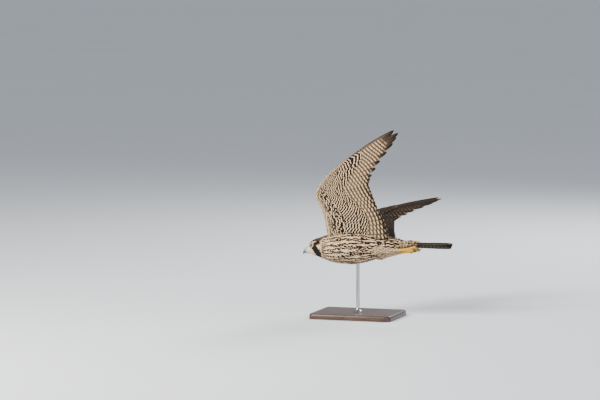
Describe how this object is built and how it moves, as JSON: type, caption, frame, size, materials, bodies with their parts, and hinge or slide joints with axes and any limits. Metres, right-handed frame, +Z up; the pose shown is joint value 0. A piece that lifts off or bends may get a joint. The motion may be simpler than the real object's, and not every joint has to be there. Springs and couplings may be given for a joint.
{
  "type": "peregrine falcon display model",
  "caption": "Life-size peregrine falcon in a flexed-wing glide, held banked on a flat base by one short rod.",
  "frame": {"origin": "under the middle of the whole model, on the surface the base stands on", "axes": "+Z up; the bird heads towards -X with its left side towards -Y"},
  "size_m": [0.4554, 0.4634, 0.5631],
  "materials": {
    "plumage_body": "cream feathers with brown streaks",
    "plumage_head": "dark brown crown and moustache, pale cheek",
    "plumage_wing": "barred cream and brown below, brown above",
    "plumage_tail": "dark brown with narrow pale bars",
    "bill": "blue grey horn, dark at the tip",
    "eye": "wet, very dark brown",
    "foot": "yellow scaled skin",
    "talon": "black horn",
    "stand_base": "dark stained wood",
    "stand_rod": "brushed steel"
  },
  "bodies": {
    "root": {"bill_lower": "bill", "bill_upper": "bill", "eye_left": "eye", "eye_right": "eye", "foot_left": "foot", "foot_right": "foot", "head": "plumage_head", "neck": "plumage_body", "stand_base": "stand_base", "stand_rod": "stand_rod", "tail": "plumage_tail", "talon_left_hind": "talon", "talon_left_inner": "talon", "talon_left_middle": "talon", "talon_left_outer": "talon", "talon_right_hind": "talon", "talon_right_inner": "talon", "talon_right_middle": "talon", "talon_right_outer": "talon", "tarsus_left": "foot", "tarsus_right": "foot", "thigh_left": "plumage_body", "thigh_right": "plumage_body", "torso": "plumage_body", "wing_arm_left": "plumage_wing", "wing_arm_right": "plumage_wing", "wing_hand_left": "plumage_wing", "wing_hand_right": "plumage_wing"}
  },
  "joints": []
}
